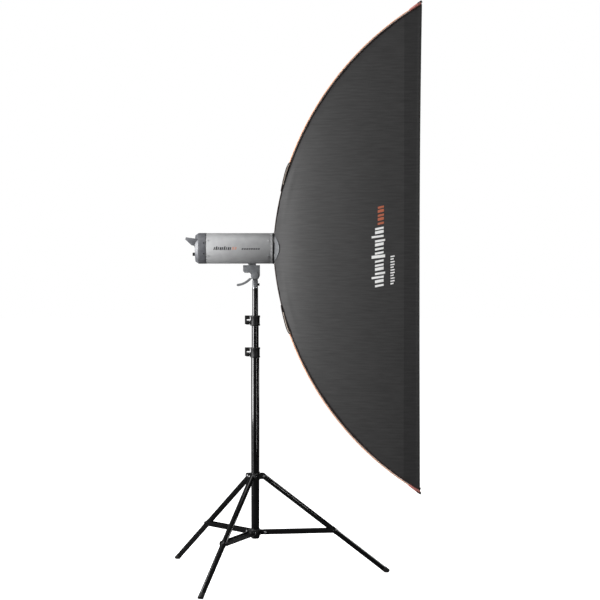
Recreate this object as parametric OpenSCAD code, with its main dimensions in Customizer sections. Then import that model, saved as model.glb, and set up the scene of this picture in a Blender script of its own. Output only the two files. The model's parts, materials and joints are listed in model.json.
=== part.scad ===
// Strip softbox on a studio flash head, with a tilt bracket and a folding light stand.
// The origin is on the floor under the column. +Z is up and the softbox faces +X.

/* [Softbox] */
// Height of the front opening
softbox_h = 2000; // [1800:10:2050]
// Width of the front opening
softbox_w = 600; // [500:10:700]
// Distance from the column to the front edge
front_x = 688; // [640:1:720]
// Distance from the column to the rear edge of the fabric
rear_x = 82; // [80:0.5:84]
// Half height of the rear opening
rear_half_h = 65; // [63:1:75]
// Half width of the rear opening
rear_half_w = 75; // [72:1:85]
// How far each bent rib bows away from its chord
rib_bow = 134; // [110:1:150]
// Depth of the lip in front of the diffuser
lip_depth = 64; // [40:1:90]
// Thickness of the lined fabric
fabric_t = 2.5; // [1.5:0.1:3]
// Distance from the column to the inner diffuser
baffle_x = 400; // [300:5:450]
// Diameter of each rib rod
rod_d = 8; // [5:0.5:9]
// Diameter of the edge piping
piping_d = 6; // [4:0.5:8]

/* [Flash head] */
// Height of the flash head's axis above the floor
axis_z = 1400; // [1390:1:1450]
// Outer diameter of the tube housing
head_d = 130; // [126:1:132]
// Wall of the tube housing
head_wall = 2.5; // [2:0.5:4]
// Front end of the tube housing
head_front_x = 66; // [60:1:68]
// Rear end of the tube housing
head_rear_x = -208; // [-220:1:-200]
// Length of the rear cap
cap_len = 46; // [40:1:50]
// Width of the bevel round the rear cap
cap_bevel = 14; // [8:1:16]

/* [Tilt bracket] */
// Height of the tilt pivot above the floor
tilt_z = 1284; // [1280:1:1288]
// Top of the cast head
bracket_top_z = 1328.5; // [1326:0.5:1330]
// Width of the cast head
bracket_w = 32; // [30:1:36]
// Diameter of the umbrella-shaft bore
umbrella_bore_d = 9; // [8:0.1:10]

/* [Column] */
// Outer diameter of the base tube
base_d = 35; // [34:0.5:37]
// Outer diameter of the middle tube
mid_d = 30; // [29:0.5:31]
// Outer diameter of the top tube
top_d = 25; // [24:0.5:26]
// Wall of the column tubes
tube_wall = 1.2; // [0.8:0.1:1.5]
// Lower clamp collar, height of its bottom
lower_clamp_z = 935; // [910:1:940]
// Upper clamp collar, height of its bottom
upper_clamp_z = 1071; // [1060:1:1078]
// Height of a clamp collar
clamp_h = 43; // [40:1:50]
// Top of the top tube
column_top_z = 1229; // [1225:1:1230]

/* [Tripod] */
// Outer diameter of a leg tube
leg_d = 23; // [19:0.5:23]
// Length of a leg from its pivot to its foot
leg_len = 678; // [660:1:690]
// Angle of an open leg from vertical
leg_angle = 51.95; // [50:0.05:52.5]
// Direction of the first leg, from +X toward +Y
leg_azimuth = 9; // [0:1:30]
// Distance of the leg pivots from the column axis
leg_pivot_r = 35; // [35:0.5:38]
// Height of the leg pivots
leg_pivot_z = 428; // [420:1:436]
// Distance of the brace rivet down the leg
brace_at = 390; // [380:1:400]
// Distance of the brace pivots from the column axis
brace_pivot_r = 40.5; // [40:0.5:44]
// Height of a brace bar
brace_h = 19; // [16:0.5:20]
// Thickness of a brace bar
brace_t = 2.5; // [2:0.5:3]
// Diameter of a rubber foot
foot_d = 24; // [23.5:0.5:28]

/* [Hidden] */
$fn = 48;
clear = 0.3;
head_r = head_d / 2;
cap_rear_x = head_rear_x - cap_len;

// Bent rib, as a circle arc in the side view
rib_dx = front_x - rear_x;
rib_dh = softbox_h / 2 - rear_half_h;
rib_chord = norm([rib_dx, rib_dh]);
rib_r = (rib_chord * rib_chord / 4 + rib_bow * rib_bow) / (2 * rib_bow);
rib_cx = (rear_x + front_x) / 2 + (rib_r - rib_bow) * rib_dh / rib_chord;
rib_ch = (rear_half_h + softbox_h / 2) / 2 - (rib_r - rib_bow) * rib_dx / rib_chord;
rib_a0 = atan2(rear_half_h - rib_ch, rear_x - rib_cx);
rib_a1 = atan2(softbox_h / 2 - rib_ch, front_x - rib_cx);
rib_flare = (softbox_w / 2 - rear_half_w) / rib_dh;
lip_x = front_x - lip_depth;
plan_steps = 40;

// Speedring and bayonet
ring_x0 = 86;
ring_x1 = 98;
ring_in_r = 60;
ring_out_r = 74;
insert_x0 = 74.4;
rod_inset = 9;
socket_r = 8;
corner_notch = 24;

// Rear panel controls, from the flash head's axis
dial_y = 22;
dial_z = -25;
dial_r = 7;
switch_y = -29;
switch_z = 8;
inlet_z = 8;

// Column
base_bottom_z = 160;
mid_bottom_z = 262;
top_bottom_z = 360;
collar_r = 19.5;
wing_drop = 13;

// Tripod
leg_azimuths = [leg_azimuth, leg_azimuth + 120, leg_azimuth + 240];
lock_azimuth = leg_azimuth + 60;
brace_pivot_z = leg_pivot_z - brace_at * cos(leg_angle);
brace_len = leg_pivot_r + brace_at * sin(leg_angle) - brace_pivot_r;
brace_gap = 26;
lug_gap = 25;
lug_t = 4;
pin_r = 3;

// ---- shared shapes ----
module at_axis() translate([0, 0, axis_z]) children();

module x_cyl(r, x0, x1, y = 0, z = 0)
  translate([x0, y, z]) rotate([0, 90, 0]) cylinder(r = r, h = x1 - x0);

module x_ring(r_out, r_in, x0, x1)
  difference() {
    x_cyl(r_out, x0, x1);
    x_cyl(r_in, x0 - 1, x1 + 1);
  }

module y_cyl(r, y0, y1, x = 0, z = 0)
  translate([x, y0, z]) rotate([-90, 0, 0]) cylinder(r = r, h = y1 - y0);

module z_tube(r_out, r_in, z0, z1)
  difference() {
    translate([0, 0, z0]) cylinder(r = r_out, h = z1 - z0);
    translate([0, 0, z0 - 1]) cylinder(r = r_in, h = z1 - z0 + 2);
  }

module round_rect(w, h, r) {
  square([w - 2 * r, h], center = true);
  square([w, h - 2 * r], center = true);
  for (sx = [-1, 1], sy = [-1, 1])
    translate([sx * (w / 2 - r), sy * (h / 2 - r)]) circle(r);
}

// Extrudes an outline drawn in x and z between two y values
module side_outline(y0, y1)
  translate([0, y1, 0]) rotate([90, 0, 0]) linear_extrude(height = y1 - y0) children();

// Cord-like solid along a path that never runs along Y
function ring_at(p, t, r, sides) =
  let (u = cross(t, [0, 1, 0]), n = u / norm(u), b = cross(n, t) / norm(t))
  [for (i = [0:sides - 1]) p + r * (cos(360 * i / sides) * n + sin(360 * i / sides) * b)];

module sweep(path, r, sides = 8) {
  last = len(path) - 1;
  rings = [for (i = [0:last])
    ring_at(path[i], path[min(i + 1, last)] - path[max(i - 1, 0)], r, sides)];
  points = [for (k = rings) for (p = k) p];
  walls = [for (i = [0:last - 1]) for (j = [0:sides - 1]) let (k = (j + 1) % sides)
    [i * sides + j, i * sides + k, (i + 1) * sides + k, (i + 1) * sides + j]];
  start = [for (j = [sides - 1:-1:0]) j];
  end = [for (j = [0:sides - 1]) last * sides + j];
  polyhedron(points = points, faces = concat(walls, [start], [end]));
}

// ---- softbox geometry ----
// A point of the upper rib in the side view, moved inward by inset
function rib_side(a, inset = 0) =
  [rib_cx + (rib_r - inset) * cos(a), rib_ch + (rib_r - inset) * sin(a)];

function rib_half_w(h) = rear_half_w + (h - rear_half_h) * rib_flare;

// A point of a corner rib, with the sides' signs and insets
function rib_point(a, sy, sz, inset, inset_y) =
  let (s = rib_side(a, inset), w = rib_half_w(rib_side(a)[1]) - inset_y)
  [s[0], sy * w, axis_z + sz * s[1]];

function rib_path(sy, sz, a0, a1, inset, inset_y, steps) =
  [for (i = [0:steps]) rib_point(a0 + (a1 - a0) * i / steps, sy, sz, inset, inset_y)];

// Half of the plan outline, moved toward the middle by inset
function plan_half(inset) =
  [for (i = [0:plan_steps])
    let (a = rib_a0 + (rib_a1 - rib_a0) * i / plan_steps,
         p = [rib_side(a)[0], rib_half_w(rib_side(a)[1])],
         n = [rib_flare * cos(a), sin(a)] / norm([rib_flare * cos(a), sin(a)]))
    p - inset * n];

module plan_block(inset, ends) {
  half = plan_half(inset);
  tips = concat([half[0] - [ends, 0]], half, [half[plan_steps] + [ends, 0]]);
  mirrored = [for (i = [len(tips) - 1:-1:0]) [tips[i][0], -tips[i][1]]];
  translate([0, 0, axis_z - softbox_h]) linear_extrude(height = 2 * softbox_h)
    polygon(concat(tips, mirrored));
}

module rib_cylinder(sz, inset)
  y_cyl_fine(rib_r - inset, rib_cx, axis_z + sz * rib_ch);

module y_cyl_fine(r, x, z)
  translate([x, -softbox_w, z]) rotate([-90, 0, 0]) cylinder(r = r, h = 2 * softbox_w, $fn = 360);

module side_region(inset)
  intersection() {
    rib_cylinder(1, inset);
    rib_cylinder(-1, inset);
  }

module band(x0, x1, y0, y1, z0, z1)
  translate([x0, y0, z0]) cube([x1 - x0, y1 - y0, z1 - z0]);

// Side wall of the softbox between two x values, on the side sy
module side_wall(sy, x0, x1)
  intersection() {
    difference() {
      plan_block(0, 0);
      plan_block(fabric_t, 20);
    }
    side_region(0);
    band(x0, x1, sy > 0 ? 0 : -softbox_w, sy > 0 ? softbox_w : 0,
      axis_z - softbox_h, axis_z + softbox_h);
  }

// Top or bottom wall between two x values
module end_wall(sz, x0, x1)
  intersection() {
    difference() {
      rib_cylinder(sz, 0);
      rib_cylinder(sz, fabric_t);
    }
    plan_block(fabric_t, 0);
    band(x0, x1, -softbox_w, softbox_w,
      sz > 0 ? axis_z : axis_z - softbox_h, sz > 0 ? axis_z + softbox_h : axis_z);
  }

// ---- stand ----
module base_tube()
  color("#151515") z_tube(base_d / 2, base_d / 2 - tube_wall, base_bottom_z + 13, lower_clamp_z + 6);

module base_cap()
  color("#1b1b1b") {
    translate([0, 0, base_bottom_z]) cylinder(r1 = base_d / 2 - 3, r2 = base_d / 2 + 1, h = 6);
    translate([0, 0, base_bottom_z + 6]) cylinder(r = base_d / 2 + 1, h = 7);
    translate([0, 0, base_bottom_z + 13]) cylinder(r = base_d / 2 - tube_wall, h = 8);
  }

module on_leg(i) rotate([0, 0, leg_azimuths[i]]) children();

module brace_hub()
  color("#1a1a1a") difference() {
    union() {
      z_tube(base_d / 2 + 5, base_d / 2, base_bottom_z + 14, brace_pivot_z + 14);
      for (i = [0:2]) on_leg(i) {
        y_cyl(9.5, -brace_gap / 2 + 0.5, brace_gap / 2 - 0.5, brace_pivot_r, brace_pivot_z);
        band(base_d / 2 + 2, brace_pivot_r, -brace_gap / 2 + 0.5, brace_gap / 2 - 0.5,
          brace_pivot_z - 9.5, brace_pivot_z + 9.5);
      }
    }
    for (i = [0:2]) on_leg(i)
      y_cyl(pin_r, -brace_gap, brace_gap, brace_pivot_r, brace_pivot_z);
  }

module brace_pins()
  color("#8c8c8c") for (i = [0:2]) on_leg(i) {
    reach = brace_gap / 2 + brace_t + 0.4;
    y_cyl(pin_r, -reach, reach, brace_pivot_r, brace_pivot_z);
    for (s = [-1, 1]) scale([1, s, 1])
      y_cyl(5, reach, reach + 1.8, brace_pivot_r, brace_pivot_z);
  }

// Split clamp collar that closes the tube below round the tube above
module clamp_collar(z0, low_d, high_d)
  difference() {
    union() {
      z_tube(collar_r + 1.5, low_d / 2, z0, z0 + 6);
      translate([0, 0, z0 + 6]) z_tube(collar_r, high_d / 2 + clear, 0, clamp_h - 14);
      z_tube(collar_r + 1.5, high_d / 2 + clear, z0 + clamp_h - 8, z0 + clamp_h);
      difference() {
        band(-24, -high_d / 2 - 1, -8, 8, z0 + wing_drop - 9, z0 + wing_drop + 9);
        translate([0, 0, z0]) cylinder(r = high_d / 2 + clear, h = clamp_h);
        translate([0, 0, z0]) cylinder(r = low_d / 2, h = 6);
      }
    }
    x_cyl(4.3, -40, -high_d / 2 + 3, 0, z0 + wing_drop);
    band(high_d / 2 - 3, collar_r + 4, -1.2, 1.2, z0 + 8, z0 + clamp_h + 1);
  }

// Screw with a cranked wing that hooks back over the collar
module clamp_knob(z0, high_d)
  translate([0, 0, z0 + wing_drop]) {
    x_cyl(4, -33, -high_d / 2 - 0.4 - clear);
    x_cyl(9, -38, -25);
    x_cyl(7, -44, -38);
    band(-44, -36, -7, 7, 0, clamp_h - wing_drop);
    band(-44, -22.4, -7, 7, clamp_h - wing_drop - 16, clamp_h - wing_drop);
  }

module lower_clamp() color("#161616") clamp_collar(lower_clamp_z, base_d, mid_d);
module upper_clamp() color("#161616") clamp_collar(upper_clamp_z, mid_d, top_d);
module lower_clamp_knob() color("#101010") clamp_knob(lower_clamp_z, mid_d);
module upper_clamp_knob() color("#101010") clamp_knob(upper_clamp_z, top_d);

module mid_tube()
  color("#151515") z_tube(mid_d / 2, mid_d / 2 - tube_wall, mid_bottom_z, upper_clamp_z + 6);

module top_tube()
  color("#151515") z_tube(top_d / 2, top_d / 2 - tube_wall, top_bottom_z, column_top_z);

module spigot()
  color("#c9c9c9") {
    translate([0, 0, column_top_z - 30]) cylinder(r = top_d / 2 - tube_wall, h = 30);
    translate([0, 0, column_top_z]) cylinder(r = top_d / 2 - 0.5, h = 2.5);
    translate([0, 0, column_top_z + 2.5]) cylinder(r = 7.9, h = 24);
  }

// ---- tripod ----
module leg_hub()
  color("#1a1a1a") difference() {
    union() {
      z_tube(22.5, base_d / 2 + clear, leg_pivot_z - 13, leg_pivot_z + 10);
      z_tube(20.5, base_d / 2 + clear, leg_pivot_z - 15, leg_pivot_z + 13);
      for (i = [0:2], s = [-1, 1]) on_leg(i) scale([1, s, 1]) difference() {
        union() {
          y_cyl(12, lug_gap / 2, lug_gap / 2 + lug_t, leg_pivot_r, leg_pivot_z);
          band(12, leg_pivot_r, lug_gap / 2, lug_gap / 2 + lug_t, leg_pivot_z - 12,
            leg_pivot_z + 12);
        }
        translate([0, 0, leg_pivot_z - 20]) cylinder(r = base_d / 2 + clear, h = 40);
      }
      x_cyl_turned(8, 17.9, 27, lock_azimuth, leg_pivot_z);
    }
    for (i = [0:2]) on_leg(i)
      y_cyl(pin_r, -lug_gap, lug_gap, leg_pivot_r, leg_pivot_z);
    x_cyl_turned(4.3, 10, 30, lock_azimuth, leg_pivot_z);
    translate([0, 0, leg_pivot_z - 20]) cylinder(r = base_d / 2 + clear, h = 60);
  }

module x_cyl_turned(r, x0, x1, turn, z)
  rotate([0, 0, turn]) x_cyl(r, x0, x1, 0, z);

module leg_pins()
  color("#8c8c8c") for (i = [0:2]) on_leg(i) {
    reach = lug_gap / 2 + lug_t;
    y_cyl(pin_r, -reach, reach, leg_pivot_r, leg_pivot_z);
    for (s = [-1, 1]) scale([1, s, 1])
      y_cyl(5, reach, reach + 1.8, leg_pivot_r, leg_pivot_z);
  }

module hub_lock_knob()
  color("#101010") {
    x_cyl_turned(4, base_d / 2 + clear + 0.4, 30, lock_azimuth, leg_pivot_z);
    x_cyl_turned(10, 28, 40, lock_azimuth, leg_pivot_z);
    rotate([0, 0, lock_azimuth])
      band(33, 44, -3.5, 3.5, leg_pivot_z - 14, leg_pivot_z + 14);
  }

// Places children that are drawn along +X from the leg's pivot
module along_leg(i)
  on_leg(i) translate([leg_pivot_r, 0, leg_pivot_z]) rotate([0, 90 - leg_angle, 0]) children();

module leg(i)
  color("#151515") along_leg(i) {
    difference() {
      union() {
        x_cyl(leg_d / 2, 0, leg_len - 12);
        y_cyl(leg_d / 2, -lug_gap / 2 + 0.5, lug_gap / 2 - 0.5);
      }
      x_cyl(leg_d / 2 - tube_wall, leg_d, leg_len - 11);
      y_cyl(pin_r + 0.15, -lug_gap, lug_gap);
    }
    x_ring(leg_d / 2 + 1.1, leg_d / 2, brace_at - 13, brace_at + 13);
  }

module foot(i)
  color("#121212") intersection() {
    along_leg(i) {
      x_cyl(leg_d / 2 - tube_wall, leg_len - 50, leg_len - 12);
      x_cyl(foot_d / 2, leg_len - 12, leg_len + 14);
    }
    translate([-softbox_h / 2, -softbox_h / 2, 0]) cube(softbox_h);
  }

// Two flat bars that straddle the leg
module brace(i)
  color("#191919") on_leg(i) translate([brace_pivot_r, 0, brace_pivot_z])
    for (s = [-1, 1]) scale([1, s, 1]) {
      difference() {
        union() {
          band(0, brace_len, brace_gap / 2, brace_gap / 2 + brace_t, -brace_h / 2, brace_h / 2);
          for (x = [0, brace_len]) y_cyl(brace_h / 2, brace_gap / 2, brace_gap / 2 + brace_t, x);
        }
        y_cyl(pin_r + 0.15, 0, 2 * brace_gap);
      }
      y_cyl(5, brace_gap / 2 + brace_t, brace_gap / 2 + brace_t + 2, brace_len);
    }

module leg_1() leg(0);
module leg_2() leg(1);
module leg_3() leg(2);
module foot_1() foot(0);
module foot_2() foot(1);
module foot_3() foot(2);
module brace_1() brace(0);
module brace_2() brace(1);
module brace_3() brace(2);

// ---- tilt bracket ----
module bracket_socket()
  color("#6f7378") difference() {
    union() {
      translate([0, 0, column_top_z + 1.5]) cylinder(r = 12, h = 31.5);
      band(-11, 11, -7.5, 7.5, column_top_z + 30, tilt_z);
      y_cyl(13, -7.5, 7.5, 0, tilt_z);
    }
    translate([0, 0, column_top_z]) cylinder(r = top_d / 2 - 0.2, h = 2.8);
    translate([0, 0, column_top_z]) cylinder(r = 8.2, h = 27.5);
    x_cyl(3.2, 6, 20, 0, column_top_z + 17);
    y_cyl(4, -20, 20, 0, tilt_z);
  }

module socket_thumbscrew()
  color("#0f0f0f") {
    x_cyl(3, 8.4, 14, 0, column_top_z + 17);
    x_cyl(5.5, 12.6, 18.5, 0, column_top_z + 17);
  }

module bracket_head()
  color("#74787d") difference() {
    side_outline(-bracket_w / 2, bracket_w / 2) union() {
      polygon([[-51, bracket_top_z], [20, bracket_top_z], [20, tilt_z],
        [14, tilt_z - 13], [-9, tilt_z - 12], [-16, tilt_z + 3], [-22, tilt_z + 12],
        [-44, tilt_z + 12], [-51, tilt_z + 19]]);
      translate([0, tilt_z]) circle(18);
    }
    band(-30, 30, -8, 8, tilt_z - 30, tilt_z + 19.5);
    y_cyl(4, -30, 30, 0, tilt_z);
    x_cyl(umbrella_bore_d / 2, -60, 30, 0, tilt_z + 33);
    y_cyl(3.2, 0, 30, -36, tilt_z + 33);
  }

module tilt_bolt()
  color("#8c8c8c") {
    y_cyl(4, -bracket_w / 2 - 3, bracket_w / 2 + 3, 0, tilt_z);
    y_cyl(8, bracket_w / 2 + 0.3, bracket_w / 2 + 6, 0, tilt_z);
  }

// Curved tension lever on the bolt's end
module tilt_lever() {
  lever_y0 = -bracket_w / 2 - 12;
  lever_y1 = -bracket_w / 2 - 3;
  color("#74787d") {
    difference() {
      y_cyl(14, lever_y0 - 2, -bracket_w / 2 - 0.4, 0, tilt_z);
      y_cyl(4, -bracket_w / 2 - 3.2, -bracket_w / 2, 0, tilt_z);
    }
    difference() {
      side_outline(lever_y0, lever_y1) difference() {
        translate([-82, tilt_z + 43]) circle(88, $fn = 90);
        translate([-82, tilt_z + 43]) circle(78, $fn = 90);
        translate([-200, tilt_z - 200]) square([127, 400]);
        translate([-200, tilt_z - 10]) square([400, 400]);
      }
      y_cyl(13.9, lever_y0 - 1, lever_y1 + 1, 0, tilt_z);
    }
    y_cyl(5, lever_y0, lever_y1, -73, tilt_z + 43 - 82.5);
  }
}

module umbrella_screw()
  color("#0f0f0f") {
    y_cyl(3, 5.2, bracket_w / 2 + 4, -36, tilt_z + 33);
    y_cyl(7, bracket_w / 2 + 1, bracket_w / 2 + 11, -36, tilt_z + 33);
  }

module mounting_foot()
  color("#55585c") difference() {
    band(-30, 3.4, -17, 17, bracket_top_z, bracket_top_z + 14);
    at_axis() x_cyl(head_r, -40, 10);
  }

// ---- flash head ----
module strobe_housing()
  color("#b4b5b7") at_axis() {
    x_ring(head_r, head_r - head_wall, head_rear_x, head_front_x);
    for (a = [45:90:315]) rotate([a, 0, 0])
      band(head_rear_x + 12, head_front_x - 6, -3, 3, -head_r + head_wall - 0.5, -head_r + 6);
  }

module strobe_front_ring()
  color("#141414") at_axis() difference() {
    union() {
      x_ring(head_r, 57, head_front_x, head_front_x + 8);
      x_ring(58, 16, head_front_x, head_front_x + 3);
    }
    for (a = [30, 150, 270]) rotate([a, 0, 0]) band(head_front_x + 3, head_front_x + 6, -7, 7, 55, 61);
  }

module rear_cap_outside() {
  x_cyl(head_r + 0.5, cap_rear_x + cap_bevel, head_rear_x);
  translate([cap_rear_x, 0, 0]) rotate([0, 90, 0])
    cylinder(r1 = head_r - 9, r2 = head_r + 0.5, h = cap_bevel);
}

module rear_cap()
  color("#4b4c50") at_axis() difference() {
    union() {
      rear_cap_outside();
      x_cyl(head_r - head_wall - 0.1, head_rear_x, head_rear_x + 8);
    }
    x_cyl(head_r - 5, cap_rear_x + 8, head_rear_x + 9);
    x_cyl(46, cap_rear_x - 1, cap_rear_x + 9);
  }

// Bail handle, seen from the side as a wedge that rises to the rear
module rear_handle() {
  arm_y = 44;
  color("#5a5b60") at_axis() {
    for (s = [-1, 1]) difference() {
      scale([1, s, 1]) side_outline(arm_y, arm_y + 9)
        polygon([[cap_rear_x + 10, 8], [cap_rear_x + 10, 40], [cap_rear_x - 12, 43],
          [cap_rear_x - 38, 47], [cap_rear_x - 41, 38], [cap_rear_x - 14, 13]]);
      rear_cap_outside();
    }
    side_outline(-arm_y, arm_y)
      polygon([[cap_rear_x - 22, 42], [cap_rear_x - 38, 47], [cap_rear_x - 41, 40],
        [cap_rear_x - 27, 30]]);
  }
}

module rear_panel()
  color("#2b2c30") at_axis() difference() {
    x_cyl(45.8, cap_rear_x + 1, cap_rear_x + 5);
    for (y = [-dial_y, dial_y]) x_cyl(5.3, cap_rear_x - 2, cap_rear_x + 7, y, dial_z);
    x_cyl(4.3, cap_rear_x - 2, cap_rear_x + 7, 0, dial_z);
    band(cap_rear_x - 2, cap_rear_x + 7, switch_y - 7.3, switch_y + 7.3, switch_z - 10.3,
      switch_z + 10.3);
    band(cap_rear_x - 2, cap_rear_x + 7, -14.2, 14.2, inlet_z - 12.2, inlet_z + 12.2);
    x_cyl(4.2, cap_rear_x - 2, cap_rear_x + 7, 28, 8);
  }

module dial(y)
  at_axis() {
    x_cyl(5, cap_rear_x - 2, cap_rear_x + 9, y, dial_z);
    difference() {
      x_cyl(dial_r, cap_rear_x - 11, cap_rear_x - 1, y, dial_z);
      band(cap_rear_x - 12, cap_rear_x - 10, y - 0.8, y + 0.8, dial_z + 2, dial_z + dial_r + 1);
    }
  }

module flash_dial() color("#0e0e0e") dial(-dial_y);
module lamp_dial() color("#0e0e0e") dial(dial_y);

module test_button()
  color("#a33a2a") at_axis() {
    x_cyl(4, cap_rear_x - 3, cap_rear_x + 8, 0, dial_z);
    x_cyl(6, cap_rear_x + 7, cap_rear_x + 9, 0, dial_z);
  }

module power_switch()
  color("#0e0e0e") at_axis() intersection() {
    band(cap_rear_x - 4, cap_rear_x + 9, switch_y - 7, switch_y + 7, switch_z - 10,
      switch_z + 10);
    y_cyl(9, switch_y - 7, switch_y + 7, cap_rear_x + 6, switch_z);
  }

module mains_inlet()
  color("#0e0e0e") at_axis() difference() {
    band(cap_rear_x - 1, cap_rear_x + 20, -14, 14, inlet_z - 12, inlet_z + 12);
    band(cap_rear_x - 2, cap_rear_x + 15, -12, 12, inlet_z - 9.5, inlet_z + 9.5);
  }

module sync_socket()
  color("#c9c9c9") at_axis() difference() {
    union() {
      x_cyl(4, cap_rear_x - 1, cap_rear_x + 14, 28, 8);
      x_cyl(6, cap_rear_x - 1, cap_rear_x + 1, 28, 8);
    }
    x_cyl(2.5, cap_rear_x - 2, cap_rear_x + 11, 28, 8);
  }

module flash_tube()
  color("#e9ecef") at_axis() {
    translate([head_front_x + 18, 0, 0]) rotate([0, 90, 0]) rotate_extrude(angle = 320)
      translate([38, 0]) circle(5, $fn = 24);
    for (a = [0, 320]) rotate([-a, 0, 0])
      x_cyl(4, head_front_x + 3, head_front_x + 18, 0, -38);
  }

module modelling_lamp()
  color("#f2ead8") at_axis() {
    x_cyl(8, head_front_x + 4, head_front_x + 22);
    x_cyl(15, head_front_x + 22, head_front_x + 44);
    translate([head_front_x + 44, 0, 0]) sphere(15);
  }

module lamp_socket()
  color("#e4ded0") at_axis() {
    x_cyl(13, head_front_x - 24, head_front_x + 4);
    x_ring(22, 12, head_front_x - 24, head_front_x - 20);
  }

module glass_dome()
  color("#dfe6ea") at_axis() difference() {
    union() {
      x_cyl(52, head_front_x + 3, head_front_x + 20);
      translate([head_front_x + 20, 0, 0]) sphere(52);
    }
    translate([head_front_x + 20, 0, 0]) sphere(49.5);
    x_cyl(49.5, head_front_x + 2, head_front_x + 20);
    band(head_front_x - 60, head_front_x + 3, -80, 80, -80, 80);
  }

module circuit_board()
  color("#1f6b3a") at_axis() band(-165, 20, -52, 52, -2, 0);

module capacitors()
  color("#23407a") at_axis() for (y = [-35, 0, 35]) x_cyl(16, -150, -55, y, 16.2);

module fan_rotor()
  color("#1d1d1f") at_axis() {
    x_cyl(14, -198, -184);
    for (a = [0:40:320]) rotate([a, 0, 0]) rotate([0, 0, 0])
      translate([-191, 0, 12]) rotate([0, 0, 35]) translate([-1, -7, 0]) cube([2, 14, 28]);
  }

// ---- softbox ----
module bayonet_insert()
  color("#101010") at_axis() {
    x_ring(head_r + 1, 56, insert_x0, rear_x - 0.6);
    x_ring(ring_in_r - clear, 56, rear_x - 0.6, ring_x1 + 2);
    x_ring(ring_in_r + 6, 56, ring_x1 + clear, ring_x1 + 3);
  }

function socket_dir(sy, sz) =
  let (d = rib_point(rib_a0 - 1, sy, sz, rod_inset, rod_inset)
         - rib_point(rib_a0 + 1, sy, sz, rod_inset, rod_inset)) d / norm(d);

// Places children drawn along +Z at the foot of a corner rod
module at_socket(sy, sz) {
  p = rib_point(rib_a0 + 1, sy, sz, rod_inset, rod_inset);
  d = socket_dir(sy, sz);
  translate(p) rotate([0, acos(d[2]), atan2(d[1], d[0])]) children();
}

module speedring()
  color("#9a9ca0") difference() {
    union() {
      at_axis() x_ring(ring_out_r, ring_in_r, ring_x0, ring_x1);
      for (sy = [-1, 1], sz = [-1, 1]) at_socket(sy, sz)
        translate([0, 0, -20]) cylinder(r = socket_r, h = 40);
      at_axis() for (sy = [-1, 1], sz = [-1, 1])
        band(ring_x0, ring_x1, min(sy * 40, sy * 62), max(sy * 40, sy * 62),
          min(sz * 22, sz * 50), max(sz * 22, sz * 50));
    }
    at_axis() {
      x_cyl(ring_in_r, ring_x0 - 10, ring_x1 + 10);
      x_cyl(head_r + 1 + clear, insert_x0, rear_x - 0.6 + clear);
      x_cyl(ring_in_r + 6 + clear, ring_x1, ring_x1 + 10);
    }
    for (sy = [-1, 1], sz = [-1, 1]) at_socket(sy, sz)
      translate([0, 0, -16]) cylinder(r = rod_d / 2 + clear, h = 60);
  }

module rib_rods()
  color("#c0c2c5") for (sy = [-1, 1], sz = [-1, 1])
    sweep(rib_path(sy, sz, rib_a0 + 1.6, rib_a1 + 0.25, rod_inset, rod_inset, 26), rod_d / 2);

module side_panel_near() color("#4a4a4d") side_wall(-1, rear_x, lip_x);
module side_panel_far() color("#4a4a4d") side_wall(1, rear_x, lip_x);
module top_panel() color("#47474a") end_wall(1, rear_x, lip_x);
module bottom_panel() color("#47474a") end_wall(-1, rear_x, lip_x);

// Slot covers on the top and bottom panels, standing just off the fabric
module access_flaps() {
  flap_a0 = rib_a0 - 14.2;
  flap_a1 = rib_a0 - 8.2;
  color("#3c3c3f") for (sz = [-1, 1]) intersection() {
    difference() {
      rib_cylinder(sz, -5);
      rib_cylinder(sz, -2);
    }
    plan_block(16, 0);
    band(rib_side(flap_a1)[0], rib_side(flap_a0)[0], -softbox_w, softbox_w,
      sz > 0 ? axis_z : axis_z - softbox_h, sz > 0 ? axis_z + softbox_h : axis_z);
  }
}

module edge_piping() {
  lift = piping_d * 0.38 + 0.1;
  color("#d0693a") for (sy = [-1, 1], sz = [-1, 1]) {
    sweep(rib_path(sy, sz, rib_a0 - 0.3, rib_a1 + 0.1, -lift, -lift, 36), piping_d / 2);
    sweep(rib_path(sy, sz, rib_a1 + 3.5, rib_a1 - 0.5, -piping_d - 2.5, -piping_d - 2.5, 6), 3);
  }
}

module front_lip()
  color("#3a3a3d") {
    for (s = [-1, 1]) {
      side_wall(s, lip_x, front_x);
      end_wall(s, lip_x, front_x);
    }
  }

module framed_sheet(x0, x1, inset)
  intersection() {
    plan_block(inset, 0);
    side_region(inset);
    band(x0, x1, -softbox_w, softbox_w, axis_z - softbox_h, axis_z + softbox_h);
  }

// The corners are cut out round the four rods
module front_diffuser() {
  notch_y = rib_half_w(rib_side_at(lip_x)) - corner_notch;
  notch_z = rib_side_at(lip_x) - corner_notch;
  color("#f4f4f2") difference() {
    framed_sheet(lip_x - 1, lip_x + 1, fabric_t + 0.4);
    for (sy = [-1, 1], sz = [-1, 1]) at_axis()
      translate([lip_x, sy * (notch_y + corner_notch), sz * (notch_z + corner_notch)])
        cube([10, 2 * corner_notch, 2 * corner_notch], center = true);
  }
}

module inner_diffuser() {
  half_w = 0.72 * rib_half_w(rib_side_at(baffle_x));
  half_h = 0.86 * rib_side_at(baffle_x);
  color("#f0f0ee") {
    at_axis() band(baffle_x, baffle_x + 1.5, -half_w, half_w, -half_h, half_h);
    for (sy = [-1, 1], sz = [-1, 1]) at_axis()
      sweep([[baffle_x + 0.75, sy * (half_w + 0.5), sz * (half_h + 0.5)],
        [baffle_x + 0.8, sy * (rib_half_w(rib_side_at(baffle_x)) - 20),
          sz * (rib_side_at(baffle_x) - 24)]], 2.2, 6);
  }
}

function rib_side_at(x) = rib_ch + sqrt(rib_r * rib_r - (x - rib_cx) * (x - rib_cx));

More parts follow.
